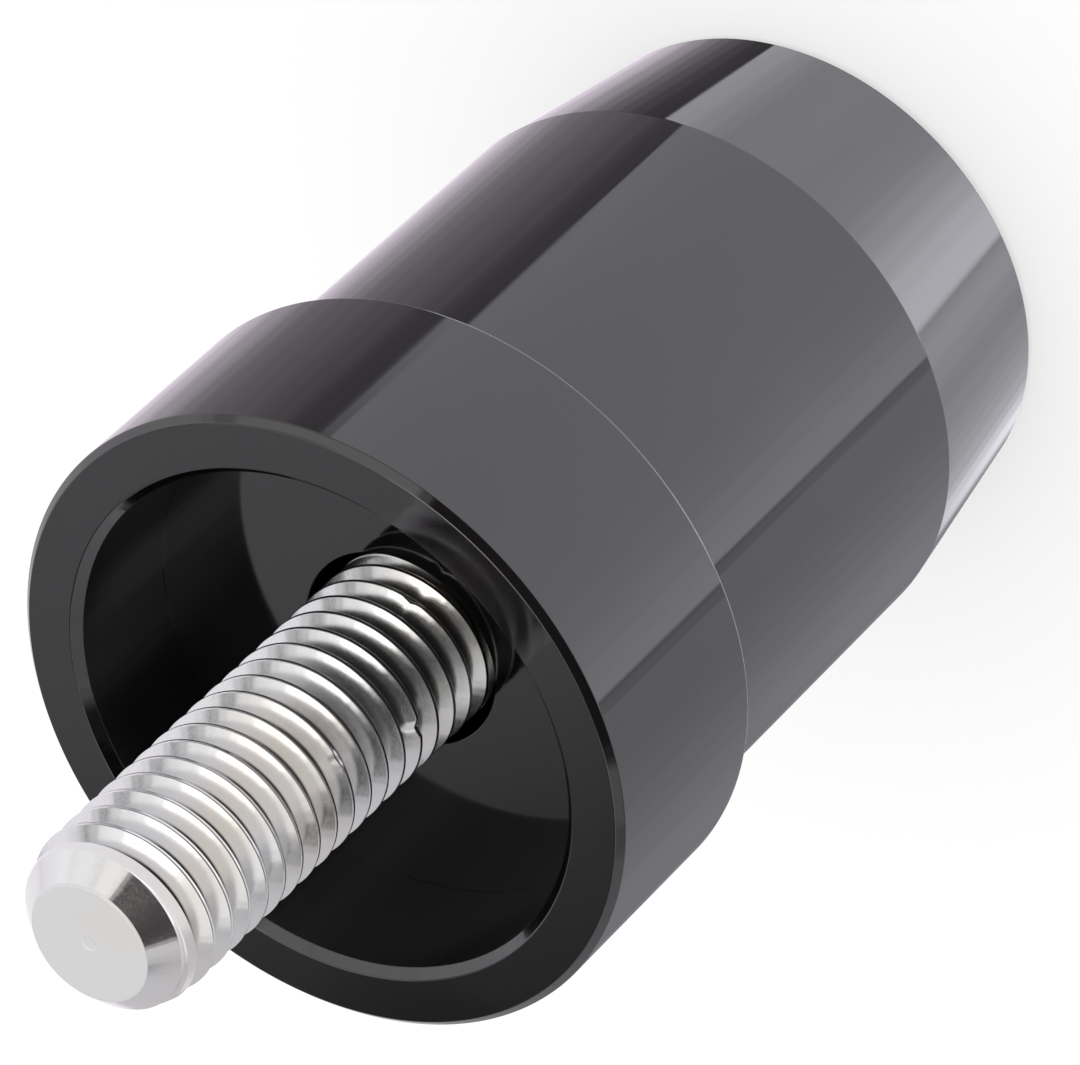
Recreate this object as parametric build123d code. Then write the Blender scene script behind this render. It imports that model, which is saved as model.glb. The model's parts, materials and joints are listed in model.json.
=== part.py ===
"""Bar end weight for a motorbike handlebar: a turned weight that caps the bar, and the screw that holds it.

The weight stands on its outer end, with its axis on +Z and the origin at the centre of that end face. The cup
that takes the end of the bar opens upwards, and the screw's thread stands out of it.
"""

import os
from math import ceil, radians, tan

from build123d import *

# Driving dimensions, in millimetres

# turned weight, outside
weight_length = 38.1
rim_diameter = 28.4
rim_length = 9.9
body_diameter = 25.7
taper_length = 9.5
end_diameter = 23.1

# edges left by the turning tool
rim_edge = 0.3
step_edge = 0.12
end_edge = 0.4
counterbore_edge = 0.3
mouth_chamfer = 0.4

# cup for the end of the bar
bar_diameter = 22.2
bar_clearance = 0.4
cup_depth = 6.2

# screw, M8 with a coarse thread and a hexagon socket head
thread_diameter = 8.0
thread_pitch = 1.25
thread_length = 23.0
screw_length = 45.0
tip_chamfer = 1.3
head_diameter = 13.0
head_height = 8.0
head_edge = 0.6
socket_across_flats = 6.0
socket_depth = 4.4
socket_lead_in = 0.3

# room for the screw in the weight, on the radius, and how deep its head is sunk
hole_clearance = 0.5
head_clearance = 1.0
head_recess = 1.4

# proportions of the metric thread, angles in degrees, and the shape of the socket
CREST_FLAT_PER_PITCH = 1 / 8
THREAD_HALF_ANGLE = 30
THREAD_START_ANGLE = 57
SPARE_PITCHES = 3
DRILL_HALF_ANGLE = 59
HEXAGON_SIDES = 6

# Sizes that follow from them

rim_radius = rim_diameter / 2
body_radius = body_diameter / 2
end_radius = end_diameter / 2
cup_radius = bar_diameter / 2 + bar_clearance
hole_radius = thread_diameter / 2 + hole_clearance
counterbore_radius = head_diameter / 2 + head_clearance
counterbore_depth = head_recess + head_height

rim_start = weight_length - rim_length
cup_floor = weight_length - cup_depth

shank_radius = thread_diameter / 2
head_radius = head_diameter / 2
screw_tip = counterbore_depth + screw_length
thread_start = screw_tip - thread_length
stock_end = screw_tip + SPARE_PITCHES * thread_pitch


def cut_corner(section, radius, height, size):
    """Breaks one corner of a half-section, found by its place."""
    corner = section.vertices().sort_by_distance((radius, height, 0))[0]
    return chamfer(corner, size)


def turned(section):
    """Turns a half-section, drawn as radius and height, about the upright axis."""
    return revolve(Plane.XZ * section, Axis.Z)


def weight_body():
    """The weight: cup, rim, step, body, taper, through hole and counterbore, all turned in one piece."""
    section = make_face(
        Polyline(
            (counterbore_radius, 0),
            (end_radius, 0),
            (body_radius, taper_length),
            (body_radius, rim_start),
            (rim_radius, rim_start),
            (rim_radius, weight_length),
            (cup_radius, weight_length),
            (cup_radius, cup_floor),
            (hole_radius, cup_floor),
            (hole_radius, counterbore_depth),
            (counterbore_radius, counterbore_depth),
            close=True,
        )
    )
    broken_corners = [
        (counterbore_radius, 0, counterbore_edge),
        (end_radius, 0, end_edge),
        (rim_radius, rim_start, step_edge),
        (rim_radius, weight_length, rim_edge),
        (cup_radius, weight_length, mouth_chamfer),
    ]
    for radius, height, size in broken_corners:
        section = cut_corner(section, radius, height, size)
    return turned(section)


def thread_groove():
    """The groove of the thread: a vee swept up a helix, turn by turn, into the spare length past the tip."""
    crest_flat = CREST_FLAT_PER_PITCH * thread_pitch
    half_width = (thread_pitch - crest_flat) / 2
    slope = tan(radians(THREAD_HALF_ANGLE))
    overcut = crest_flat / 2
    root_radius = shank_radius - half_width / slope
    outer_radius = shank_radius + overcut
    outer_half_width = half_width + overcut * slope
    vee = make_face(
        Polyline(
            (root_radius, 0),
            (outer_radius, -outer_half_width),
            (outer_radius, outer_half_width),
            close=True,
        )
    )
    turns = ceil(thread_length / thread_pitch) + 1
    one_turn = Helix(thread_pitch, thread_pitch, shank_radius)
    run = Wire([Pos(0, 0, turn * thread_pitch) * one_turn for turn in range(turns)])
    groove = sweep(Plane.XZ * vee, path=run, is_frenet=True)
    return Pos(0, 0, thread_start) * Rot(0, 0, THREAD_START_ANGLE) * groove


def hexagon_socket():
    """The socket for the key: a hexagon with a drilled point at its bottom and a lead-in at its mouth."""
    mouth = head_recess
    bottom = mouth + socket_depth
    hexagon = RegularPolygon(socket_across_flats / 2, HEXAGON_SIDES, major_radius=False)
    prism = extrude(Pos(0, 0, mouth) * hexagon, socket_depth)
    drill_radius = hexagon.apothem
    point_end = bottom + drill_radius / tan(radians(DRILL_HALF_ANGLE))
    point = make_face(Polyline((0, bottom), (drill_radius, bottom), (0, point_end), close=True))
    lead_in_radius = hexagon.radius + socket_lead_in
    lead_in_end = mouth + lead_in_radius
    lead_in = make_face(Polyline((0, mouth), (lead_in_radius, mouth), (0, lead_in_end), close=True))
    return prism + turned(point) + turned(lead_in)


def screw_stock():
    """The screw before its thread is cut: head and shank, with spare length past the tip."""
    section = make_face(
        Polyline(
            (0, head_recess),
            (head_radius, head_recess),
            (head_radius, counterbore_depth),
            (shank_radius, counterbore_depth),
            (shank_radius, stock_end),
            (0, stock_end),
            close=True,
        )
    )
    section = cut_corner(section, head_radius, head_recess, head_edge)
    return turned(section)


def tip_waste():
    """What is turned off the stock at the tip: the spare length, and the ring outside the tip's chamfer."""
    outside = shank_radius + thread_pitch
    chamfer_end = screw_tip - tip_chamfer - thread_pitch
    section = make_face(
        Polyline(
            (0, screw_tip),
            (shank_radius - tip_chamfer, screw_tip),
            (outside, chamfer_end),
            (outside, stock_end + thread_pitch),
            (0, stock_end + thread_pitch),
            close=True,
        )
    )
    return turned(section)


def through_screw():
    """The screw: a socket head sunk in the counterbore, a plain shank, and the thread that stands in the cup.

    The thread is cut first and the tip is shaped last, so that the groove never has to end on the chamfer.
    """
    return screw_stock() - thread_groove() - tip_waste() - hexagon_socket()


os.makedirs("parts", exist_ok=True)
export_step(weight_body(), "parts/weight_body.step")
export_step(through_screw(), "parts/through_screw.step")
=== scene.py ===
# %% [markdown]
# # A bar end weight in gloss black, with its bright screw
# The object is a turned weight that caps the end of a motorbike's handlebar. It stands on its outer end, so
# its axis is the Z axis. The cup that takes the bar opens upwards, and the thread of the screw stands out
# of it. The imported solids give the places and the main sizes. This lesson models both pieces again with
# finer edges, a smooth round shape and a true thread, gives them their finishes, and lights them as a small
# studio would.

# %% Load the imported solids
import json
import math

import bmesh
import bpy
from mathutils import Matrix, Quaternion, Vector


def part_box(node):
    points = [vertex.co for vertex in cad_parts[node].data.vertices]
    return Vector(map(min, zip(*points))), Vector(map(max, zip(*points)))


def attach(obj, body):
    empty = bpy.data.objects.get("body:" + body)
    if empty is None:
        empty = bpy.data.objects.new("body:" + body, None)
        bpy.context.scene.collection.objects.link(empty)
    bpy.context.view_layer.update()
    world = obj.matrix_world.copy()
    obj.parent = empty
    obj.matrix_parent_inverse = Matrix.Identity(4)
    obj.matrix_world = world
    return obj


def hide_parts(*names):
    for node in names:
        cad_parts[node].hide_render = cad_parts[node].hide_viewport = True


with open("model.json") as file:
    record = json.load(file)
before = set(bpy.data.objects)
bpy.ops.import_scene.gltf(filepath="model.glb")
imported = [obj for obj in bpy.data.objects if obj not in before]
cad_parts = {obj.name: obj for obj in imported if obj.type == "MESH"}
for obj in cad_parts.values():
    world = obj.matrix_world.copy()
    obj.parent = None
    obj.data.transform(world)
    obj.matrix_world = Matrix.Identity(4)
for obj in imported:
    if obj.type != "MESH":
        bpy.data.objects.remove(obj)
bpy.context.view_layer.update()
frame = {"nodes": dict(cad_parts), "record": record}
scene = bpy.context.scene
scene.view_settings.view_transform = "Standard"
print("solids:", sorted(frame["nodes"]))

# %% [markdown]
# ## The camera
# The camera looks down on the cup from about 44 degrees, from far away with a long lens, so the shape is
# almost free of perspective. It is rolled, so that the screw points to the lower left of the picture. A
# direction is turned into a rotation with to_track_quat, and the roll is one more turn about the camera's
# own line of sight.

# %% Camera
MM = 0.001
CAMERA_ELEVATION = math.radians(43.93)
CAMERA_ROLL = math.radians(-133.45)
CAMERA_DISTANCE = 351.9 * MM
CAMERA_LENS = 284.45
CAMERA_NEAR = 10 * MM
CAMERA_AIM = Vector((-0.46, 0.0, 21.7)) * MM


def add_camera():
    """A long lens that looks at the middle of the object from the side of -Y, and from above."""
    sight = Vector((0.0, math.cos(CAMERA_ELEVATION), -math.sin(CAMERA_ELEVATION)))
    data = bpy.data.cameras.new("camera")
    data.lens = CAMERA_LENS
    data.clip_start = CAMERA_NEAR
    camera = bpy.data.objects.new("camera", data)
    camera.location = CAMERA_AIM - sight * CAMERA_DISTANCE
    camera.rotation_mode = "QUATERNION"
    level = sight.to_track_quat("-Z", "Y")
    camera.rotation_quaternion = level @ Quaternion((0.0, 0.0, 1.0), CAMERA_ROLL)
    scene.collection.objects.link(camera)
    return camera


scene.camera = add_camera()
print("camera at", [round(x / MM, 1) for x in scene.camera.location], "mm")

# %% [markdown]
# ## Helpers for node trees
# A material is a small network of nodes. A few helpers keep the network readable: the first adds a node and
# fills its sockets, each with a plain value or with a link, and the others use it for sums, ranges, ramps
# and mixes of colours.

# %% Node helpers


def add_node(tree, kind, inputs=None, **settings):
    """Adds a node, applies its settings, and fills its sockets with values or links."""
    node = tree.nodes.new(kind)
    for name, value in settings.items():
        setattr(node, name, value)
    for socket, value in (inputs or {}).items():
        if isinstance(value, bpy.types.NodeSocket):
            tree.links.new(value, node.inputs[socket])
        else:
            node.inputs[socket].default_value = value
    return node


def number(tree, operation, *values):
    """The result of a sum on numbers, as a socket."""
    return add_node(tree, "ShaderNodeMath", dict(enumerate(values)), operation=operation).outputs[0]


def remap(tree, value, low, high, to_low, to_high, smooth=False):
    """A number moved from one range to another, as a socket."""
    node = add_node(tree, "ShaderNodeMapRange", {0: value, 1: low, 2: high, 3: to_low, 4: to_high})
    node.interpolation_type = "SMOOTHSTEP" if smooth else "LINEAR"
    return node.outputs[0]


def ramp(tree, value, low, high, stops, tint=(1.0, 1.0, 1.0)):
    """Looks a number up in a few (number, brightness) stops, as a colour."""
    node = add_node(tree, "ShaderNodeValToRGB", {0: remap(tree, value, low, high, 0.0, 1.0)})
    elements = node.color_ramp.elements
    while len(elements) < len(stops):
        elements.new(1.0)
    for element, (at, bright) in zip(elements, stops):
        element.position = (at - low) / (high - low)
        element.color = (bright * tint[0], bright * tint[1], bright * tint[2], 1.0)
    return node.outputs[0]


def blend(tree, share, first, second):
    """Mixes two colours, as a socket."""
    return add_node(tree, "ShaderNodeMix", {0: share, 6: first, 7: second}, data_type="RGBA").outputs[2]


def scaled(tree, colour, gain):
    """A colour made brighter or darker, as a socket."""
    return add_node(tree, "ShaderNodeVectorMath", {0: colour, "Scale": gain}, operation="SCALE").outputs[0]


def along(tree, direction, line):
    """How far a direction goes along a line, as a number."""
    node = add_node(tree, "ShaderNodeVectorMath", {0: direction, 1: line}, operation="DOT_PRODUCT")
    return node.outputs["Value"]


print("node helpers ready")

# %% [markdown]
# ## The studio below the horizon
# A gloss black surface has almost no colour of its own: what it shows is the studio. So the world is built
# for its reflections. The sides of the weight mirror what is below the horizon: one broad bright field,
# with a dark drape on one side and a thin dark gap on the other. The field is brighter low down, for the
# taper, and dim straight below. Near the horizon it meets a pale wall, which lights the flanks of the
# thread. The stops give the brightness by the angle round the object, in degrees from the camera's side.
# The first stop and the last meet behind the object. A height is the Z of a direction, from -1 straight
# down to 1 straight up.

# %% Field and drape
HALF_TURN = 180.0
FIELD_TINT = (0.985, 0.985, 1.06)
DRAPE_TINT = (1.02, 0.92, 1.04)
FIELD = [
    (-180, 0.28), (-150, 1.05), (-60, 1.06), (0, 1.15), (22, 1.17), (38, 1.27), (50, 1.46), (57.6, 1.52),
    (59.6, 0.58), (60.8, 0.58), (63.4, 0.94), (80, 0.84), (100, 0.81), (120, 0.73), (140, 0.55), (160, 0.31),
    (180, 0.28),
]
FIELD_LOW = [
    (-180, 2.1), (-160, 1.5), (-93, 1.5), (-84, 1.41), (-71, 1.21), (-48, 1.36), (-24, 1.4), (0, 1.57),
    (24, 2.3), (36, 2.8), (48, 3.0), (56, 3.0), (59.6, 1.5), (62, 1.5), (71, 1.75), (82, 1.45), (93, 1.18),
    (136, 1.2), (150, 1.6), (160, 2.1), (180, 2.1),
]
DRAPE = [
    (-180, 1.15), (-150, 1.05), (-140, 0.92), (-130, 0.72), (-120, 0.58), (-100, 0.49), (-90, 0.41),
    (-78, 0.25), (150, 0.25), (180, 1.15),
]
DRAPE_LOW = [
    (-180, 0.85), (-166, 0.9), (-156, 1.0), (-146, 0.95), (-136, 0.67), (-125, 0.42), (-115, 0.25),
    (-104, 0.15), (150, 0.13), (180, 0.85),
]
# the drape hangs on the side that this line points to
DRAPE_EDGE = Vector((0.682, 0.540, 0.494))
DRAPE_SOFTNESS = 0.008
LOW_FROM = -0.735
LOW_TO = -0.775
RIM_SHADE = 0.92
RIM_SHADE_FROM = -0.72
RIM_SHADE_TO = -0.69
WALL = (0.95, 0.93, 0.95, 1.0)
WALL_FROM = -0.6
WALL_TO = -0.45
DOWN = (0.35, 0.35, 0.37, 1.0)
DOWN_FROM = -0.91
DOWN_TO = -0.94


def bearing(tree, axes):
    """The angle round the object, in degrees from the camera's side."""
    x = number(tree, "MULTIPLY", axes.outputs[0], -1.0)
    y = number(tree, "MULTIPLY", axes.outputs[1], -1.0)
    return number(tree, "DEGREES", number(tree, "ARCTAN2", x, y))


def below_horizon(tree, direction, axes):
    """The bright field, the dark drape, the pale wall and the dim space straight down, as a colour."""
    angle = bearing(tree, axes)
    height = axes.outputs[2]
    low = remap(tree, height, LOW_TO, LOW_FROM, 1.0, 0.0, smooth=True)
    side = along(tree, direction, -DRAPE_EDGE)
    past_edge = remap(tree, side, -DRAPE_SOFTNESS, DRAPE_SOFTNESS, 0.0, 1.0, smooth=True)
    halves = []
    for upper, lower, tint in ((DRAPE, DRAPE_LOW, DRAPE_TINT), (FIELD, FIELD_LOW, FIELD_TINT)):
        high_part = ramp(tree, angle, -HALF_TURN, HALF_TURN, upper, tint)
        low_part = ramp(tree, angle, -HALF_TURN, HALF_TURN, lower, tint)
        halves.append(blend(tree, low, high_part, low_part))
    shade = remap(tree, height, RIM_SHADE_FROM, RIM_SHADE_TO, 1.0, RIM_SHADE)
    level = remap(tree, height, WALL_FROM, WALL_TO, 0.0, 1.0, smooth=True)
    straight_down = remap(tree, height, DOWN_FROM, DOWN_TO, 0.0, 1.0, smooth=True)
    sides = blend(tree, level, scaled(tree, blend(tree, past_edge, *halves), shade), WALL)
    return blend(tree, straight_down, sides, DOWN)


print("field stops:", len(FIELD), "drape stops:", len(DRAPE))

# %% [markdown]
# ## The studio above the horizon
# The faces that look up mirror the sky: a bright tent that fades into a dark backdrop low on the far side.
# The top of the drape darkens one side, and a grey wall stands on the other. Behind the camera the room is
# dark, from above the horizon up to the opening that the camera looks through. The chamfer of the screw's
# tip shows that opening as its one dark patch.

# %% Tent
TENT = 1.0
TENT_TINT = (1.0, 0.97, 1.02)
BACKDROP_SLOPE = Vector((1.0, 0.0, 0.8))
BACKDROP_END = 1.3
BACKDROP = [(0.0, 0.08), (0.4935, 0.1), (0.515, 0.23), (0.5415, 0.45), (0.75, 0.9), (BACKDROP_END, 1.0)]
FAR_SIDE_FROM = 0.36
FAR_SIDE_TO = 0.5
OPENING = (0.055, 0.048, 0.052, 1.0)
ROOM = (0.03, 0.028, 0.03, 1.0)
DRAPE_TOP = (0.15, 0.145, 0.15, 1.0)
SIDE_WALL = (0.62, 0.61, 0.64, 1.0)
# from, to and softness, first in degrees round the object and then in height, and the colour
STUDIO_PARTS = {
    "top of the drape": ((-165.0, -66.0, 6.0), (0.65, 0.76, 0.02), DRAPE_TOP),
    "side wall": ((62.0, 175.0, 10.0), (-0.42, 0.6, 0.05), SIDE_WALL),
    "dark room": ((-95.0, 95.0, 10.0), (0.06, 0.42, 0.04), ROOM),
    "opening": ((-31.0, 74.0, 5.0), (0.42, 0.82, 0.04), OPENING),
}


def window(tree, value, low, high, softness):
    """1 between two limits and 0 outside them, with soft edges."""
    rise = remap(tree, value, low - softness, low + softness, 0.0, 1.0, smooth=True)
    fall = remap(tree, value, high - softness, high + softness, 1.0, 0.0, smooth=True)
    return number(tree, "MULTIPLY", rise, fall)


def above_horizon(tree, direction, axes):
    """The bright tent and the backdrop on the far side, as a colour."""
    backdrop = ramp(tree, along(tree, direction, BACKDROP_SLOPE), 0.0, BACKDROP_END, BACKDROP, TENT_TINT)
    on_far_side = remap(tree, axes.outputs[1], FAR_SIDE_FROM, FAR_SIDE_TO, 0.0, 1.0, smooth=True)
    return blend(tree, on_far_side, (TENT, TENT, TENT, 1.0), backdrop)


def hang_parts(tree, axes, studio):
    """Puts the top of the drape, the side wall, the dark room and the opening into the studio."""
    angle = bearing(tree, axes)
    height = axes.outputs[2]
    for across, upright, colour in STUDIO_PARTS.values():
        share = number(tree, "MULTIPLY", window(tree, angle, *across), window(tree, height, *upright))
        studio = blend(tree, share, studio, colour)
    return studio


print("tent", TENT, "with", ", ".join(STUDIO_PARTS))

# %% [markdown]
# ## The world
# The two halves meet at the horizon. They are only for glossy rays: the camera sees white, and matt
# surfaces get one even light, whichever way they face.

# %% World
EVEN_LIGHT = 0.88
HORIZON = 0.05


def add_world():
    """White for the camera, an even light for matt surfaces, and the studio for glossy ones."""
    world = bpy.data.worlds.new("studio")
    world.use_nodes = True
    tree = world.node_tree
    tree.nodes.clear()
    direction = add_node(tree, "ShaderNodeTexCoord").outputs["Generated"]
    axes = add_node(tree, "ShaderNodeSeparateXYZ", {0: direction})
    upper = remap(tree, axes.outputs[2], -HORIZON, HORIZON, 0.0, 1.0, smooth=True)
    studio = blend(tree, upper, below_horizon(tree, direction, axes), above_horizon(tree, direction, axes))
    studio = hang_parts(tree, axes, studio)
    path = add_node(tree, "ShaderNodeLightPath")
    even = (EVEN_LIGHT, EVEN_LIGHT, EVEN_LIGHT, 1.0)
    seen = blend(tree, path.outputs["Is Camera Ray"], even, (1.0, 1.0, 1.0, 1.0))
    light = blend(tree, path.outputs["Is Glossy Ray"], seen, studio)
    background = add_node(tree, "ShaderNodeBackground", {"Color": light, "Strength": 1.0})
    add_node(tree, "ShaderNodeOutputWorld", {"Surface": background.outputs[0]})
    scene.world = world


add_world()
print("world: even light", EVEN_LIGHT)

# %% [markdown]
# ## The floor
# The floor is a plain pale sheet, a hair below the end of the weight so that the two faces don't coincide,
# and clear from below. It keeps the soft shadow of the object, but glossy rays pass it, so that the black
# surface shows the studio and not a sheet a few centimetres away.

# %% Floor
FLOOR_SIZE = 4.0
FLOOR_COLOUR = (0.5, 0.5, 0.5, 1.0)
FLOOR_LIFT = 0.58
FLOOR_DROP = 0.02 * MM


def plain_material(name, surface):
    """An empty material, with the shader that surface(tree) makes."""
    material = bpy.data.materials.new(name)
    material.use_nodes = True
    tree = material.node_tree
    tree.nodes.clear()
    add_node(tree, "ShaderNodeOutputMaterial", {"Surface": surface(tree)})
    return material


def floor_surface(tree):
    """A matt sheet, a little brighter to the camera so that it reads as white, and clear from below."""
    matt = add_node(tree, "ShaderNodeBsdfDiffuse", {"Color": FLOOR_COLOUR})
    path = add_node(tree, "ShaderNodeLightPath")
    lift = number(tree, "MULTIPLY", path.outputs["Is Camera Ray"], FLOOR_LIFT)
    glow = add_node(tree, "ShaderNodeEmission", {"Strength": lift})
    sheet = add_node(tree, "ShaderNodeAddShader", {0: matt.outputs[0], 1: glow.outputs[0]})
    clear = add_node(tree, "ShaderNodeBsdfTransparent")
    below = add_node(tree, "ShaderNodeNewGeometry").outputs["Backfacing"]
    mixed = add_node(tree, "ShaderNodeMixShader", {0: below, 1: sheet.outputs[0], 2: clear.outputs[0]})
    return mixed.outputs[0]


def stage_piece(shape, name, material):
    """Puts a bmesh in the scene as a piece of the studio."""
    mesh = bpy.data.meshes.new(name)
    shape.to_mesh(mesh)
    shape.free()
    mesh.materials.append(material)
    piece = bpy.data.objects.new(name, mesh)
    scene.collection.objects.link(piece)
    return piece


def add_floor():
    """A pale sheet under the object."""
    sheet = bmesh.new()
    bmesh.ops.create_grid(sheet, x_segments=1, y_segments=1, size=FLOOR_SIZE / 2)
    bmesh.ops.translate(sheet, verts=sheet.verts, vec=(0.0, 0.0, -FLOOR_DROP))
    floor = stage_piece(sheet, "floor", plain_material("pale_floor", floor_surface))
    floor.visible_glossy = False


add_floor()
print("floor", FLOOR_SIZE, "m wide")

# %% [markdown]
# ## The flag
# A flag of black net hangs close above one side of the screw, and the camera doesn't see it. From nearby a
# net is easy to see through, and from further off it looks dense, so it darkens the flanks of the thread
# that lie deep in the cup, and lets those near the tip shine. Past the object the net counts as clear
# again, so that it leaves no shadow on the floor.

# %% Flag
FLAG_HEIGHT = 68.0 * MM
FLAG_CORNERS = [
    (5.0, -6.0), (-9.0, -4.5), (-16.0, 1.5), (-24.0, 9.0), (-34.0, 19.0),
    (-38.0, 15.5), (-33.0, 7.0), (-26.0, -3.5), (-16.0, -14.0), (5.0, -19.0),
]
NET_CLEAR = 27.0 * MM
NET_DENSE = 33.0 * MM
NET_FAR = 58.0 * MM


def flag_surface(tree):
    """Black net: clear to a ray that starts nearby, dense from further off, and clear again past that."""
    path = add_node(tree, "ShaderNodeLightPath")
    length = path.outputs["Ray Length"]
    dense = remap(tree, length, NET_CLEAR, NET_DENSE, 0.0, 1.0, smooth=True)
    dense = number(tree, "MULTIPLY", dense, number(tree, "LESS_THAN", length, NET_FAR))
    clear = add_node(tree, "ShaderNodeBsdfTransparent")
    black = add_node(tree, "ShaderNodeBsdfDiffuse", {"Color": (0.0, 0.0, 0.0, 1.0)})
    mixed = add_node(tree, "ShaderNodeMixShader", {0: dense, 1: clear.outputs[0], 2: black.outputs[0]})
    return mixed.outputs[0]


def add_flag():
    """A flag above the screw, which the camera doesn't see."""
    net = bmesh.new()
    corners = [net.verts.new((x * MM, y * MM, FLAG_HEIGHT)) for x, y in FLAG_CORNERS]
    bmesh.ops.contextual_create(net, geom=corners)
    flag = stage_piece(net, "flag", plain_material("black_net", flag_surface))
    flag.visible_camera = False
    flag.visible_diffuse = False
    flag.visible_transmission = False


add_flag()
print("flag with", len(FLAG_CORNERS), "corners,", round(FLAG_HEIGHT / MM), "mm up")

# %% [markdown]
# ## The lamp
# One large soft lamp hangs overhead, a little to the side of the camera. It gives the floor its soft shadow
# and the bright steel a warm sheen.

# %% Lamp
LAMP_SIZE = 250 * MM
LAMP_POWER = 0.28
LAMP_TINT = (1.0, 0.96, 0.89)
LAMP_PLACE = Vector((67.0, -114.0, 525.0)) * MM


def add_lamp():
    """One large soft lamp overhead, turned to the object."""
    data = bpy.data.lights.new("softbox", "AREA")
    data.size = LAMP_SIZE
    data.energy = LAMP_POWER
    data.color = LAMP_TINT
    lamp = bpy.data.objects.new("softbox", data)
    lamp.location = LAMP_PLACE
    lamp.rotation_mode = "QUATERNION"
    lamp.rotation_quaternion = (CAMERA_AIM - LAMP_PLACE).to_track_quat("-Z", "Y")
    scene.collection.objects.link(lamp)


add_lamp()
print("lamp of", LAMP_POWER, "W at", [round(x / MM) for x in LAMP_PLACE], "mm")

# %% [markdown]
# ## Sizes
# The boxes of the two solids and the mounts in the record give the rim, the length, the cup's floor and the
# screw. The sizes that a box can't show, such as the step and the taper, are named here as on a workshop
# drawing.

# %% Sizes
_, weight_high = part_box("weight_body")
screw_low, screw_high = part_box("through_screw")
mounts = {mount["name"]: mount for mount in frame["record"]["mounts"]}

rim_radius = weight_high.x
weight_length = weight_high.z
cup_floor = mounts["bar_seat"]["pos_m"][2]
rim_length = 9.9 * MM
rim_start = weight_length - rim_length
body_radius = 12.85 * MM
taper_top = 9.5 * MM
end_radius = 11.55 * MM
cup_radius = 11.5 * MM
hole_radius = 4.5 * MM
counterbore_radius = 7.5 * MM

thread_radius = mounts["mounting_stud"]["dims"]["r_mm"] * MM
thread_pitch = 1.25 * MM
screw_tip = screw_high.z
tip_chamfer = 1.3 * MM
head_radius = screw_high.x
head_outside = screw_low.z
head_height = 8.0 * MM
head_seat = head_outside + head_height

print("weight", round(weight_length / MM, 2), "mm long, screw tip at", round(screw_tip / MM, 2), "mm")

# %% [markdown]
# ## Turning
# Both pieces were made on a lathe, so both start as half of a section: a few vertices, joined by edges. A
# vertex bevel with one segment cuts a chamfer, a second and finer one takes the sharpness off, and a full
# spin turns the outline into a solid. The spin meets itself, so its doubles are merged before the normals
# are set.

# %% Turning helpers
TURN_STEPS = 256
MERGE = 0.0005 * MM
SOFT_ANGLE = math.radians(4)
SOFT_SEGMENTS = 2
CRISP_ANGLE = math.radians(32)


def half_section(corners, closed):
    """The outline of a turned piece, as vertices at (radius, 0, height) joined by edges."""
    outline = bmesh.new()
    points = [outline.verts.new((radius, 0.0, height)) for radius, height in corners]
    ends = points[1:] + points[:1] if closed else points[1:]
    for first, second in zip(points, ends):
        outline.edges.new((first, second))
    return outline, points


def bevel_corners(outline, corners, size, segments):
    """Bevels some vertices of an outline. One segment is a chamfer, and more are a round."""
    bmesh.ops.bevel(
        outline, geom=corners, offset=size, offset_type="OFFSET", affect="VERTICES",
        segments=segments, profile=0.5, material=-1,
    )


def soften(outline, size, keep):
    """Takes the sharpness off every corner that is left on an outline, apart from the ones to keep."""
    corners = [v for v in outline.verts if len(v.link_edges) == 2 and v not in keep]
    sharp = [v for v in corners if v.calc_edge_angle(0.0) > SOFT_ANGLE]
    bevel_corners(outline, sharp, size, SOFT_SEGMENTS)


def spin_full(outline):
    """Turns an outline right round the Z axis into a closed solid."""
    bmesh.ops.spin(
        outline, geom=outline.verts[:] + outline.edges[:], cent=(0.0, 0.0, 0.0), axis=(0.0, 0.0, 1.0),
        dvec=(0.0, 0.0, 0.0), angle=2 * math.pi, steps=TURN_STEPS, use_merge=True, use_duplicate=False,
    )
    bmesh.ops.remove_doubles(outline, verts=outline.verts, dist=MERGE)
    bmesh.ops.recalc_face_normals(outline, faces=outline.faces)
    for edge in outline.edges:
        edge.smooth = edge.calc_face_angle(0.0) < CRISP_ANGLE


print("a full turn has", TURN_STEPS, "steps")

# %% [markdown]
# ## Even shading
# A smooth mesh blends its normals across every edge, so a narrow bevel would bend the reflection on the
# wall beside it. Weighted normals let the large faces decide instead, and the walls stay straight in the
# mirror of the gloss.

# %% Shading helpers
LARGE_FACES_FIRST = 100


def finished(solid, name):
    """Makes a bmesh into an object with smooth faces."""
    for face in solid.faces:
        face.smooth = True
    mesh = bpy.data.meshes.new(name)
    solid.to_mesh(mesh)
    solid.free()
    piece = bpy.data.objects.new(name, mesh)
    scene.collection.objects.link(piece)
    return piece


def apply(piece, modifier):
    """Makes the result of a modifier the piece's own mesh."""
    shape = piece.evaluated_get(bpy.context.evaluated_depsgraph_get())
    mesh = bpy.data.meshes.new_from_object(shape)
    piece.modifiers.remove(modifier)
    old = piece.data
    piece.data = mesh
    bpy.data.meshes.remove(old)


def even_shading(piece):
    """Lets the large faces set the normals, so that a narrow bevel doesn't shade the wall beside it.

    The modifier compares areas, and in square metres these are too small for it, so the mesh is made
    larger for it and then smaller again.
    """
    piece.data.transform(Matrix.Scale(1 / MM, 4))
    modifier = piece.modifiers.new("even_shading", "WEIGHTED_NORMAL")
    modifier.weight = LARGE_FACES_FIRST
    modifier.thresh = 0.0
    modifier.keep_sharp = True
    apply(piece, modifier)
    piece.data.transform(Matrix.Scale(MM, 4))


print("large faces count with a weight of", LARGE_FACES_FIRST)

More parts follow.
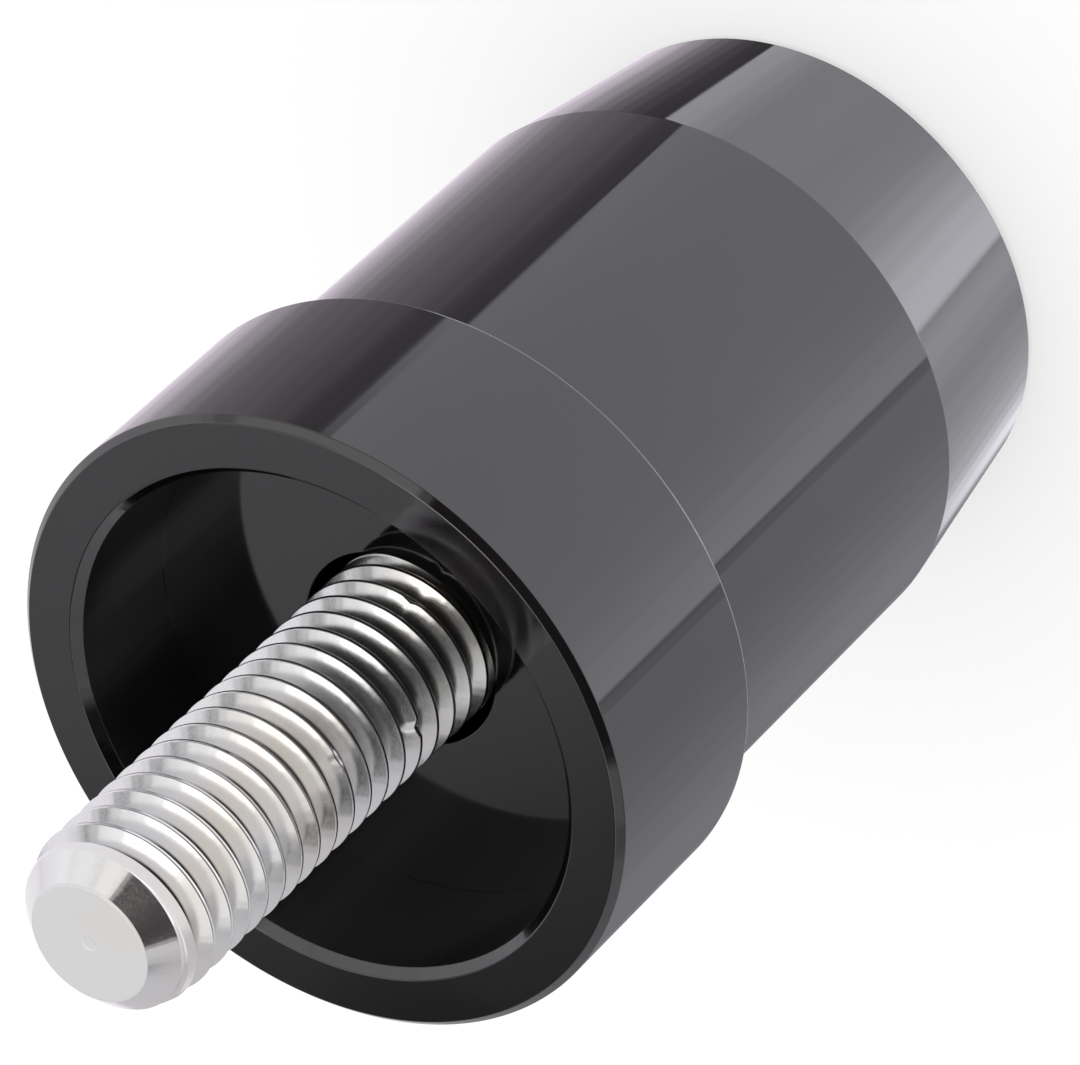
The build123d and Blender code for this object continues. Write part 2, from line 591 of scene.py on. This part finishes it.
# %% [markdown]
# ## The weight
# The weight is one turned piece: the cup for the bar, the rim round it, a step down to the body, the taper
# to the outer end, and the hole and counterbore for the screw. The outline runs once round that section.
# Four of its corners get a chamfer, and the edge of the step a small round. The others only lose their
# sharpness, apart from the bottom corner of the cup and the edge of the seat, which stay as they are.

# %% Weight
EDGE_SOFTNESS = 0.04 * MM
STEP_ROUND = 0.2 * MM
STEP_SEGMENTS = 4
CHAMFER_SEGMENTS = 1
COUNTERBORE_CHAMFER = 0.3 * MM
END_CHAMFER = 0.4 * MM
RIM_CHAMFER = 0.3 * MM
MOUTH_CHAMFER = 0.4 * MM


def make_weight():
    """The turned weight, from the counterbore at its outer end round to the hole."""
    outline, points = half_section(
        [
            (counterbore_radius, 0.0),
            (end_radius, 0.0),
            (body_radius, taper_top),
            (body_radius, rim_start),
            (rim_radius, rim_start),
            (rim_radius, weight_length),
            (cup_radius, weight_length),
            (cup_radius, cup_floor),
            (hole_radius, cup_floor),
            (hole_radius, head_seat),
            (counterbore_radius, head_seat),
        ],
        closed=True,
    )
    counterbore_edge, end, _, _, step, rim, mouth, cup_corner, _, seat_edge, _ = points
    bevel_corners(outline, [counterbore_edge], COUNTERBORE_CHAMFER, CHAMFER_SEGMENTS)
    bevel_corners(outline, [end], END_CHAMFER, CHAMFER_SEGMENTS)
    bevel_corners(outline, [rim], RIM_CHAMFER, CHAMFER_SEGMENTS)
    bevel_corners(outline, [mouth], MOUTH_CHAMFER, CHAMFER_SEGMENTS)
    soften(outline, EDGE_SOFTNESS, keep=[step, cup_corner, seat_edge])
    bevel_corners(outline, [step], STEP_ROUND, STEP_SEGMENTS)
    spin_full(outline)
    return finished(outline, "turned_weight")


weight = make_weight()
even_shading(weight)
print("weight faces:", len(weight.data.polygons))

# %% [markdown]
# ## The thread
# The thread is the outline of one ridge, spun once round while it climbs: dvec lifts each step, so that
# after one turn the ridge has risen by the pitch. Copies of that turn, each one pitch higher, meet vertex
# on vertex, which is much quicker than a spin of many turns. Real threads are rolled, so the crest and the
# root are rounded.

# %% Thread
THREAD_STEPS = 112
DEPTH_PER_PITCH = 0.6134
THREAD_DEPTH = DEPTH_PER_PITCH * thread_pitch
CREST_FLAT = thread_pitch / 8
ROOT_FLAT = thread_pitch / 6
CREST_ROUND = 0.04 * MM
ROOT_ROUND = 0.1 * MM
ROUND_SEGMENTS = 3
CREST_HEIGHT = 33.36 * MM
SPARE_TURNS = 2
CUT_TOLERANCE = MERGE / 10
thread_bottom = cup_floor - thread_pitch
thread_top = screw_tip + thread_pitch / 2


def ridge_outline(crest):
    """One ridge of the thread, from root to root, with rounded corners."""
    root_radius = thread_radius - THREAD_DEPTH
    half = thread_pitch / 2
    ridge, points = half_section(
        [
            (root_radius, crest - half),
            (root_radius, crest - half + ROOT_FLAT / 2),
            (thread_radius, crest - CREST_FLAT / 2),
            (thread_radius, crest + CREST_FLAT / 2),
            (root_radius, crest + half - ROOT_FLAT / 2),
            (root_radius, crest + half),
        ],
        closed=False,
    )
    _, low_root, low_crest, high_crest, high_root, _ = points
    bevel_corners(ridge, [low_crest, high_crest], CREST_ROUND, ROUND_SEGMENTS)
    bevel_corners(ridge, [low_root, high_root], ROOT_ROUND, ROUND_SEGMENTS)
    return ridge


def stack_turns(turn, count):
    """Repeats one turn of the thread upwards, a pitch at a time."""
    first = turn.verts[:] + turn.edges[:] + turn.faces[:]
    for index in range(1, count):
        copy = bmesh.ops.duplicate(turn, geom=first)["geom"]
        verts = [part for part in copy if isinstance(part, bmesh.types.BMVert)]
        bmesh.ops.translate(turn, verts=verts, vec=(0.0, 0.0, index * thread_pitch))


def cut_level(solid, height, above):
    """Cuts a shape level at a height, drops one side, and closes the cut."""
    geometry = solid.verts[:] + solid.edges[:] + solid.faces[:]
    bmesh.ops.bisect_plane(
        solid, geom=geometry, dist=CUT_TOLERANCE, plane_co=(0.0, 0.0, height), plane_no=(0.0, 0.0, 1.0),
        clear_outer=above, clear_inner=not above,
    )
    open_edges = [edge for edge in solid.edges if edge.is_boundary]
    rim = [edge for edge in open_edges if all(abs(v.co.z - height) < MERGE for v in edge.verts)]
    bmesh.ops.contextual_create(solid, geom=rim)


def make_thread():
    """The thread, from below the cup's floor to a little past the tip, closed at both ends."""
    turns_below = math.ceil((CREST_HEIGHT - thread_bottom) / thread_pitch) + SPARE_TURNS
    crest = CREST_HEIGHT - turns_below * thread_pitch
    turns = math.ceil((thread_top - crest) / thread_pitch) + SPARE_TURNS
    thread = ridge_outline(crest)
    bmesh.ops.spin(
        thread, geom=thread.verts[:] + thread.edges[:], cent=(0.0, 0.0, 0.0), axis=(0.0, 0.0, 1.0),
        dvec=(0.0, 0.0, thread_pitch / THREAD_STEPS), angle=2 * math.pi, steps=THREAD_STEPS,
        use_merge=False, use_duplicate=False,
    )
    stack_turns(thread, turns)
    bmesh.ops.remove_doubles(thread, verts=thread.verts, dist=MERGE)
    cut_level(thread, thread_bottom, above=False)
    cut_level(thread, thread_top, above=True)
    bmesh.ops.recalc_face_normals(thread, faces=thread.faces)
    return finished(thread, "bright_screw")


screw = make_thread()
print("thread faces:", len(screw.data.polygons))

# %% [markdown]
# ## Head and shank
# The head and the plain shank are turned like the weight, and the socket for the key is cut into the head:
# a six-sided hole, a drilled point at its bottom, and a lead-in cone at its mouth. Then the shank joins the
# thread, down in the hole of the weight.

# %% Head
SHANK_UNDERSIZE = 0.03 * MM
HEAD_ROUND = 0.6 * MM
HEAD_SEGMENTS = 4
NECK_ROUND = 0.3 * MM
HEXAGON_SIDES = 6
SOCKET_FLAT = 3.0 * MM
SOCKET_CORNER = SOCKET_FLAT / math.cos(math.pi / HEXAGON_SIDES)
SOCKET_DEPTH = 4.4 * MM
SOCKET_LEAD_IN = 0.3 * MM
DRILL_ANGLE = math.radians(59)
SHANK_OVERLAP = 0.3 * MM
shank_end = thread_bottom + SHANK_OVERLAP


def combine(piece, tool, operation):
    """Applies one exact Boolean to a piece, and removes the tool."""
    modifier = piece.modifiers.new(operation.lower(), "BOOLEAN")
    modifier.object = tool
    modifier.operation = operation
    modifier.solver = "EXACT"
    apply(piece, modifier)
    bpy.data.objects.remove(tool)


def make_head():
    """The head and the plain shank, turned in one."""
    shank_radius = thread_radius - SHANK_UNDERSIZE
    outline, points = half_section(
        [
            (0.0, head_outside),
            (head_radius, head_outside),
            (head_radius, head_seat),
            (shank_radius, head_seat),
            (shank_radius, shank_end),
            (0.0, shank_end),
        ],
        closed=False,
    )
    _, outer_edge, seat_edge, neck, _, _ = points
    bevel_corners(outline, [outer_edge], HEAD_ROUND, HEAD_SEGMENTS)
    bevel_corners(outline, [seat_edge], EDGE_SOFTNESS, SOFT_SEGMENTS)
    bevel_corners(outline, [neck], NECK_ROUND, ROUND_SEGMENTS)
    spin_full(outline)
    return finished(outline, "head_and_shank")


def cone_tool(name, low, high, low_radius, high_radius, sides):
    """A cone or a prism between two heights, to cut with."""
    tool = bmesh.new()
    made = bmesh.ops.create_cone(
        tool, cap_ends=True, segments=sides, radius1=low_radius, radius2=high_radius, depth=high - low
    )
    bmesh.ops.translate(tool, verts=made["verts"], vec=(0.0, 0.0, (low + high) / 2))
    bmesh.ops.remove_doubles(tool, verts=tool.verts, dist=MERGE)
    bmesh.ops.recalc_face_normals(tool, faces=tool.faces)
    return finished(tool, name)


def cut_socket(head):
    """Cuts the hexagon, its drilled point and its lead-in into the head."""
    mouth = head_outside
    bottom = mouth + SOCKET_DEPTH
    point = bottom + SOCKET_FLAT / math.tan(DRILL_ANGLE)
    lead_in = SOCKET_CORNER + SOCKET_LEAD_IN
    spare = thread_pitch
    hexagon = cone_tool("socket", mouth - spare, bottom, SOCKET_CORNER, SOCKET_CORNER, HEXAGON_SIDES)
    drill = cone_tool("drill_point", bottom - MERGE, point, SOCKET_FLAT, 0.0, TURN_STEPS)
    cone = cone_tool("lead_in", mouth - spare, mouth + lead_in, lead_in + spare, 0.0, TURN_STEPS)
    for tool in (hexagon, drill, cone):
        combine(head, tool, "DIFFERENCE")


head = make_head()
cut_socket(head)
combine(screw, head, "UNION")
print("faces with the head:", len(screw.data.polygons))

# %% [markdown]
# ## The tip
# A rolled thread dies out before the tip: it leaves a smooth cone there, and the crests of the first turn
# are not yet full. No plane can cut a cone, so Booleans do it: first a short plug fills the last groove,
# then the waste round the cone is turned off. The waste also leaves the small centre mark in the end face.

# %% Tip
WASTE_CLEARANCE = 0.2 * MM
TIP_SOFTNESS = 0.05 * MM
TIP_CONE = 1.0 * MM
TIP_LEAD = 1.2 * MM
END_FACE_TRIM = 0.06 * MM
PLUG_LENGTH = 1.2 * MM
PLUG_LEAD = 0.5 * MM
MARK_RADIUS = 0.34 * MM
MARK_DEPTH = 0.03 * MM
MARK_SLOPE = 3 * MARK_DEPTH
MARK_SOFTNESS = MARK_DEPTH / 3
end_face_radius = thread_radius - tip_chamfer - END_FACE_TRIM
cone_radius = end_face_radius + TIP_CONE


def make_plug():
    """Fills the last groove, with a cone underneath so that the groove fades out."""
    low = screw_tip - PLUG_LENGTH
    foot = low - PLUG_LEAD
    top = thread_top + WASTE_CLEARANCE
    outline, _ = half_section(
        [(0.0, foot), (cone_radius - PLUG_LEAD, foot), (cone_radius, low), (cone_radius, top), (0.0, top)],
        closed=False,
    )
    spin_full(outline)
    return finished(outline, "tip_plug")


def make_waste():
    """What is turned off at the tip: round the lead and the cone, and above the marked end face."""
    outside = thread_radius + WASTE_CLEARANCE
    top = thread_top + 2 * WASTE_CLEARANCE
    cone_foot = screw_tip - TIP_CONE
    lead_foot = cone_foot - TIP_LEAD * (outside - cone_radius) / (thread_radius - cone_radius)
    outline, points = half_section(
        [
            (0.0, screw_tip - MARK_DEPTH),
            (MARK_RADIUS - MARK_SLOPE, screw_tip - MARK_DEPTH),
            (MARK_RADIUS, screw_tip),
            (end_face_radius, screw_tip),
            (cone_radius, cone_foot),
            (outside, lead_foot),
            (outside, top),
            (0.0, top),
        ],
        closed=False,
    )
    _, mark_bottom, mark_edge, face_edge, _, _, _, _ = points
    bevel_corners(outline, [mark_bottom, mark_edge], MARK_SOFTNESS, SOFT_SEGMENTS)
    bevel_corners(outline, [face_edge], TIP_SOFTNESS, SOFT_SEGMENTS)
    spin_full(outline)
    return finished(outline, "tip_waste")


combine(screw, make_plug(), "UNION")
combine(screw, make_waste(), "DIFFERENCE")
print("faces with the tip:", len(screw.data.polygons))

# %% [markdown]
# ## Dents and crisp edges
# Handling leaves a few small dents in the crests of every thread. They are made by pushing the vertices
# near a point in. The chamfer of the tip meets the thread in a crisp line, so those edges are marked sharp.

# %% Dents and edges
# place, size and depth of each dent, in millimetres
DENTS = [
    ((1.1, -3.74, 33.06), 0.34, 0.2),
    ((-2.77, -2.75, 36.68), 0.36, 0.24),
    ((-1.4, -3.7, 41.9), 0.28, 0.1),
    ((1.9, -3.5, 45.4), 0.26, 0.08),
    ((3.2, 2.4, 43.1), 0.3, 0.12),
]
ON_CONE = 0.03 * MM
END_ZONE = 0.06 * MM


def dent(solid, centre, size, depth):
    """Pushes the vertices near a point in towards the axis."""
    for vert in solid.verts:
        near = 1.0 - ((vert.co - centre).length / size) ** 2
        if near > 0.0:
            inward = Vector((-vert.co.x, -vert.co.y, 0.0)).normalized()
            vert.co += inward * depth * near


def on_tip(face):
    """True for a face of the tip's chamfer or of the end face."""
    cone = end_face_radius + screw_tip - ON_CONE
    return all(v.co.xy.length + v.co.z > cone or v.co.z > screw_tip - END_ZONE for v in face.verts)


def work_over(piece):
    """Dents the thread, marks its crisp edges, and counts the edges that are open."""
    solid = bmesh.new()
    solid.from_mesh(piece.data)
    bmesh.ops.remove_doubles(solid, verts=solid.verts, dist=MERGE)
    for centre, size, depth in DENTS:
        dent(solid, Vector(centre) * MM, size * MM, depth * MM)
    tip_faces = {face for face in solid.faces if on_tip(face)}
    for edge in solid.edges:
        borders_tip = sum(1 for face in edge.link_faces if face in tip_faces) == 1
        edge.smooth = edge.calc_face_angle(0.0) < CRISP_ANGLE and not borders_tip
    for face in solid.faces:
        face.smooth = True
    open_edges = sum(1 for edge in solid.edges if not edge.is_manifold)
    solid.to_mesh(piece.data)
    solid.free()
    return open_edges


open_edges = work_over(screw)
even_shading(screw)
print("open edges:", open_edges, "faces:", len(screw.data.polygons))

# %% [markdown]
# ## A shared finish for turned metal
# Both pieces come off a lathe, so both show the same things close up: fine lines left by the tool, smudges
# from handling, and a fine grain. That is one node group with an output for each. The lines follow the
# distance from the axis plus the height: on a wall only the height changes, on a level face only the
# distance, so the lines always run round the axis.

# %% Turned finish group
SMUDGE_SCALE = 110.0
GRAIN_SCALE = 9000.0
LINE_DETAIL = 2.0
SMUDGE_DETAIL = 3.0
GRAIN_DETAIL = 2.0


def noise(tree, position, scale, detail, **settings):
    """A noise texture, as a number from 0 to 1."""
    inputs = {"Scale": scale, "Detail": detail}
    inputs["W" if settings.get("noise_dimensions") == "1D" else "Vector"] = position
    return add_node(tree, "ShaderNodeTexNoise", inputs, **settings).outputs[0]


def radius_and_height(tree, position):
    """The distance from the axis and the height of a position, as numbers."""
    axes = add_node(tree, "ShaderNodeSeparateXYZ", {0: position})
    flat = add_node(tree, "ShaderNodeCombineXYZ", {0: axes.outputs[0], 1: axes.outputs[1]})
    radius = add_node(tree, "ShaderNodeVectorMath", {0: flat.outputs[0]}, operation="LENGTH")
    return radius.outputs["Value"], axes.outputs[2]


def make_turned_finish():
    """The node group with the lines, the smudges and the grain."""
    group = bpy.data.node_groups.new("turned_finish", "ShaderNodeTree")
    group.interface.new_socket("Position", in_out="INPUT", socket_type="NodeSocketVector")
    group.interface.new_socket("Lines Per Metre", in_out="INPUT", socket_type="NodeSocketFloat")
    for name in ("Lines", "Smudge", "Grain"):
        group.interface.new_socket(name, in_out="OUTPUT", socket_type="NodeSocketFloat")
    entry = add_node(group, "NodeGroupInput")
    position = entry.outputs["Position"]
    radius, height = radius_and_height(group, position)
    travel = number(group, "ADD", radius, height)
    lines = noise(group, travel, entry.outputs["Lines Per Metre"], LINE_DETAIL, noise_dimensions="1D")
    smudge = noise(group, position, SMUDGE_SCALE, SMUDGE_DETAIL)
    grain = noise(group, position, GRAIN_SCALE, GRAIN_DETAIL)
    add_node(group, "NodeGroupOutput", {"Lines": lines, "Smudge": smudge, "Grain": grain})
    return group


turned_finish = make_turned_finish()
print("group outputs:", [item.name for item in turned_finish.interface.items_tree if item.in_out == "OUTPUT"])

# %% [markdown]
# ## Gloss black
# The weight has a hard black coat with a deep gloss. It could be a clear coat over black, but one dark
# layer with a high index of refraction mirrors the studio just as strongly and exports cleanly. The smudges
# change the roughness and the colour a little, and the tool's lines are a bump far too fine to see except
# where a reflection ends. A fine light line is painted into the colour along the edge of the step, a painted
# highlight, and the coat is duller in the bore of the cup, where nobody polishes it.

# %% Gloss black material
BLACK_CLEAN = (0.0026, 0.0026, 0.0028, 1.0)
BLACK_SMUDGED = (0.0052, 0.0043, 0.0047, 1.0)
BLACK_INDEX = 1.85
COAT_LINES = 9000.0
COAT_BUMP = 0.00006 * MM
GRAIN_SHARE = 0.4
SMUDGE_FROM = 0.38
SMUDGE_TO = 0.68
ROUGH_CLEAN = 0.05
ROUGH_SMUDGED = 0.09
# the colour and the width of the painted highlight along the edge of the step
STEP_HIGHLIGHT_PAINT = (0.3, 0.3, 0.31, 1.0)
STEP_HIGHLIGHT_WIDTH = 0.14 * MM
STEP_HIGHLIGHT_SOFTNESS = STEP_HIGHLIGHT_WIDTH / 4
ROUGH_BORE = 0.27
BORE_MARGIN = 0.03 * MM


def new_material(name):
    """A material with its tree and its shader."""
    material = bpy.data.materials.new(name)
    material.use_nodes = True
    return material, material.node_tree, material.node_tree.nodes["Principled BSDF"]


def finish_of(tree, lines):
    """Places the turned finish in a material, on the piece's own coordinates."""
    position = add_node(tree, "ShaderNodeTexCoord").outputs["Object"]
    group = tree.nodes.new("ShaderNodeGroup")
    group.node_tree = turned_finish
    tree.links.new(position, group.inputs["Position"])
    group.inputs["Lines Per Metre"].default_value = lines
    return position, group.outputs


def make_black():
    """The gloss black coat."""
    material, tree, shader = new_material("gloss_black_coat")
    position, finish = finish_of(tree, COAT_LINES)
    smudge = remap(tree, finish["Smudge"], SMUDGE_FROM, SMUDGE_TO, 0.0, 1.0, smooth=True)
    radius, level = radius_and_height(tree, position)
    # painted highlight: a light grey line in the colour of the black coat, along the edge of the step
    outside = number(tree, "GREATER_THAN", radius, rim_radius - STEP_HIGHLIGHT_WIDTH)
    at_step = window(tree, level, rim_start, rim_start + STEP_HIGHLIGHT_WIDTH, STEP_HIGHLIGHT_SOFTNESS)
    step_highlight = number(tree, "MULTIPLY", outside, at_step)
    colour = blend(tree, step_highlight, blend(tree, smudge, BLACK_CLEAN, BLACK_SMUDGED), STEP_HIGHLIGHT_PAINT)
    roughness = remap(tree, smudge, 0.0, 1.0, ROUGH_CLEAN, ROUGH_SMUDGED)
    above_floor = number(tree, "GREATER_THAN", level, cup_floor + BORE_MARGIN)
    inside = number(tree, "LESS_THAN", radius, cup_radius + BORE_MARGIN)
    in_bore = number(tree, "MULTIPLY", above_floor, inside)
    roughness = number(tree, "MAXIMUM", roughness, number(tree, "MULTIPLY", in_bore, ROUGH_BORE))
    bumps = number(tree, "ADD", finish["Lines"], number(tree, "MULTIPLY", finish["Grain"], GRAIN_SHARE))
    bump = add_node(tree, "ShaderNodeBump", {"Height": bumps, "Strength": 1.0, "Distance": COAT_BUMP})
    tree.links.new(colour, shader.inputs["Base Color"])
    tree.links.new(roughness, shader.inputs["Roughness"])
    tree.links.new(bump.outputs[0], shader.inputs["Normal"])
    shader.inputs["IOR"].default_value = BLACK_INDEX
    return material


black = make_black()
print("black nodes:", len(black.node_tree.nodes))

# %% [markdown]
# ## Bright steel
# The screw is zinc plated steel. The rolled thread has a soft shine, the turned chamfer is brighter, and
# the end face is nearly matt. The roots of the thread get painted shade, darker in some patches than in
# others, and the plating has a faint warm tint in patches. Masks made from the distance to the axis and the
# height tell those places apart.

# %% Bright steel material
STEEL_CLEAN = (0.80, 0.80, 0.81, 1.0)
STEEL_WARM = (0.80, 0.775, 0.73, 1.0)
# painted shade in the roots of the thread: its colour, where it is full and where it ends, and how it varies
# in patches
ROOT_SHADE_COLOUR = (0.24, 0.22, 0.21, 1.0)
ROOT_SHADE_FULL = 0.02 * MM
ROOT_SHADE_END = 0.15 * MM
ROOT_SHADE_PATCH_FROM = 0.3
ROOT_SHADE_PATCH_TO = 0.7
ROOT_SHADE_LEAST = 0.5
WARM_FROM = 0.45
WARM_TO = 0.7
STEEL_LINES = 7000.0
STEEL_BUMP = 0.0006 * MM
METAL_END = 0.35
METAL_THREAD = 1.0
ROUGH_THREAD = 0.23
ROUGH_CHAMFER = 0.15
ROUGH_END = 0.5
GRAIN_MIDDLE = 0.5
GRAIN_ROUGHNESS = 0.14


def make_steel():
    """Zinc plated steel."""
    material, tree, shader = new_material("bright_plated_steel")
    position, finish = finish_of(tree, STEEL_LINES)
    radius, height = radius_and_height(tree, position)
    root = thread_radius - THREAD_DEPTH
    # painted shade: the colour darkens in the roots of the thread, more in some patches than in others
    in_root = remap(tree, radius, root + ROOT_SHADE_FULL, root + ROOT_SHADE_END, 1.0, 0.0, smooth=True)
    on_thread = number(tree, "GREATER_THAN", height, thread_bottom)
    below_tip = number(tree, "LESS_THAN", height, screw_tip - TIP_CONE)
    in_shaded_root = number(tree, "MULTIPLY", in_root, number(tree, "MULTIPLY", on_thread, below_tip))
    patches = remap(tree, finish["Smudge"], ROOT_SHADE_PATCH_FROM, ROOT_SHADE_PATCH_TO, ROOT_SHADE_LEAST, 1.0)
    root_shade = number(tree, "MULTIPLY", in_shaded_root, patches)
    warm = remap(tree, finish["Smudge"], WARM_FROM, WARM_TO, 0.0, 1.0, smooth=True)
    colour = blend(tree, root_shade, blend(tree, warm, STEEL_CLEAN, STEEL_WARM), ROOT_SHADE_COLOUR)
    on_end = number(tree, "GREATER_THAN", height, screw_tip - END_ZONE)
    cone = end_face_radius + screw_tip - ON_CONE
    on_chamfer = number(tree, "GREATER_THAN", number(tree, "ADD", radius, height), cone)
    rough = remap(tree, on_chamfer, 0.0, 1.0, ROUGH_THREAD, ROUGH_CHAMFER)
    rough = number(tree, "MAXIMUM", rough, number(tree, "MULTIPLY", on_end, ROUGH_END))
    uneven = number(tree, "SUBTRACT", finish["Grain"], GRAIN_MIDDLE)
    rough = number(tree, "MULTIPLY_ADD", uneven, GRAIN_ROUGHNESS, rough)
    bumps = number(tree, "ADD", finish["Lines"], finish["Grain"])
    bump = add_node(tree, "ShaderNodeBump", {"Height": bumps, "Strength": 1.0, "Distance": STEEL_BUMP})
    tree.links.new(colour, shader.inputs["Base Color"])
    tree.links.new(rough, shader.inputs["Roughness"])
    tree.links.new(bump.outputs[0], shader.inputs["Normal"])
    tree.links.new(remap(tree, on_end, 0.0, 1.0, METAL_THREAD, METAL_END), shader.inputs["Metallic"])
    return material


steel = make_steel()
print("steel nodes:", len(steel.node_tree.nodes))

# %% [markdown]
# ## Dressing
# Each piece gets its finish, rides on the only body, and takes the place of its solid.

# %% Dress the pieces


def dress(piece, material, node):
    """Gives a piece its finish, and puts it in the place of a solid."""
    piece.data.materials.clear()
    piece.data.materials.append(material)
    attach(piece, "root")
    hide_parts(node)


dress(weight, black, "weight_body")
dress(screw, steel, "through_screw")
print("dressed:", weight.name, "and", screw.name)
